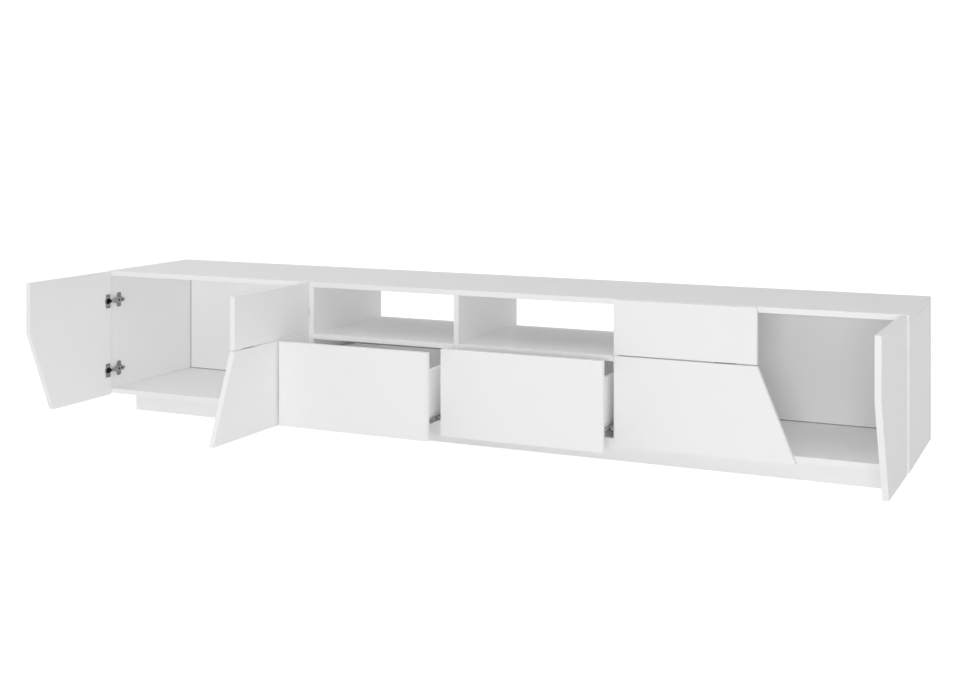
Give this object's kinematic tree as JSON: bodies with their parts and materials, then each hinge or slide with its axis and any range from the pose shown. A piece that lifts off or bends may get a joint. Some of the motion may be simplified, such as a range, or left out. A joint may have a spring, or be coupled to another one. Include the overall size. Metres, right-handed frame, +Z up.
{
  "type": "tv stand",
  "caption": "Long low white TV stand: doors with angled edges over a compartment at each end, open cells above drawers between them, recessed plinth.",
  "frame": {"origin": "on the floor under the middle of the carcass, at the underside of the plinth's middle support", "axes": "+X along the stand to the right as seen from the front, +Y from the door side to the back, +Z up"},
  "size_m": [2.6, 0.9583, 0.464],
  "materials": {
    "white_board": "white satin lacquered board",
    "drawer_board": "white melamine-faced chipboard, satin",
    "thin_back_board": "white-faced hardboard, matt",
    "hinge_steel": "nickel-plated pressed steel",
    "runner_steel": "grey epoxy-coated rolled steel"
  },
  "bodies": {
    "root": {"back_panel_drawers": "thin_back_board", "back_panel_left": "thin_back_board", "back_panel_right": "thin_back_board", "bottom_panel": "white_board", "cell_shelf_left": "white_board", "cell_shelf_right": "white_board", "divider_left": "white_board", "divider_middle": "white_board", "divider_right": "white_board", "hinge_arm_inner_left_lower": "hinge_steel", "hinge_arm_inner_left_upper": "hinge_steel", "hinge_arm_inner_right_lower": "hinge_steel", "hinge_arm_inner_right_upper": "hinge_steel", "hinge_arm_outer_left_lower": "hinge_steel", "hinge_arm_outer_left_upper": "hinge_steel", "hinge_arm_outer_right_lower": "hinge_steel", "hinge_arm_outer_right_upper": "hinge_steel", "plinth_back": "white_board", "plinth_front": "white_board", "plinth_middle_support": "white_board", "plinth_side_left": "white_board", "plinth_side_right": "white_board", "runner_cabinet_left_drawer_left": "runner_steel", "runner_cabinet_left_drawer_right": "runner_steel", "runner_cabinet_right_drawer_left": "runner_steel", "runner_cabinet_right_drawer_right": "runner_steel", "side_panel_left": "white_board", "side_panel_right": "white_board", "top_panel": "white_board"},
    "outer_door_left": {"hinge_cup_outer_left_lower": "hinge_steel", "hinge_cup_outer_left_upper": "hinge_steel", "outer_door_left": "white_board"},
    "inner_door_left": {"hinge_cup_inner_left_lower": "hinge_steel", "hinge_cup_inner_left_upper": "hinge_steel", "inner_door_left_joining_plate": "hinge_steel", "inner_door_left_lower": "white_board", "inner_door_left_upper": "white_board"},
    "inner_door_right": {"hinge_cup_inner_right_lower": "hinge_steel", "hinge_cup_inner_right_upper": "hinge_steel", "inner_door_right_joining_plate": "hinge_steel", "inner_door_right_lower": "white_board", "inner_door_right_upper": "white_board"},
    "outer_door_right": {"hinge_cup_outer_right_lower": "hinge_steel", "hinge_cup_outer_right_upper": "hinge_steel", "outer_door_right": "white_board"},
    "drawer_left": {"drawer_left_back": "drawer_board", "drawer_left_bottom": "thin_back_board", "drawer_left_front": "white_board", "drawer_left_side_left": "drawer_board", "drawer_left_side_right": "drawer_board", "runner_drawer_left_drawer_left": "runner_steel", "runner_drawer_left_drawer_right": "runner_steel"},
    "drawer_right": {"drawer_right_back": "drawer_board", "drawer_right_bottom": "thin_back_board", "drawer_right_front": "white_board", "drawer_right_side_left": "drawer_board", "drawer_right_side_right": "drawer_board", "runner_drawer_right_drawer_left": "runner_steel", "runner_drawer_right_drawer_right": "runner_steel"}
  },
  "joints": [
    {"name": "outer_door_left_swing", "type": "hinge", "parent": "root", "child": "outer_door_left", "pos_m": [-1.292, -0.234, 0.259], "axis": [0, 0, -1], "range_deg": [-90, 15]},
    {"name": "inner_door_left_swing", "type": "hinge", "parent": "root", "child": "inner_door_left", "pos_m": [-0.51, -0.234, 0.259], "axis": [0, 0, 1], "range_deg": [-90, 0]},
    {"name": "inner_door_right_swing", "type": "hinge", "parent": "root", "child": "inner_door_right", "pos_m": [0.51, -0.234, 0.259], "axis": [0, 0, -1], "range_deg": [0, 90]},
    {"name": "outer_door_right_swing", "type": "hinge", "parent": "root", "child": "outer_door_right", "pos_m": [1.292, -0.234, 0.259], "axis": [0, 0, 1], "range_deg": [-89.3, 15.7]},
    {"name": "drawer_left_slide", "type": "slide", "parent": "root", "child": "drawer_left", "axis": [0, -1, 0], "range_m": [-0.17, 0.13]},
    {"name": "drawer_right_slide", "type": "slide", "parent": "root", "child": "drawer_right", "axis": [0, -1, 0], "range_m": [-0.091, 0.209]}
  ]
}
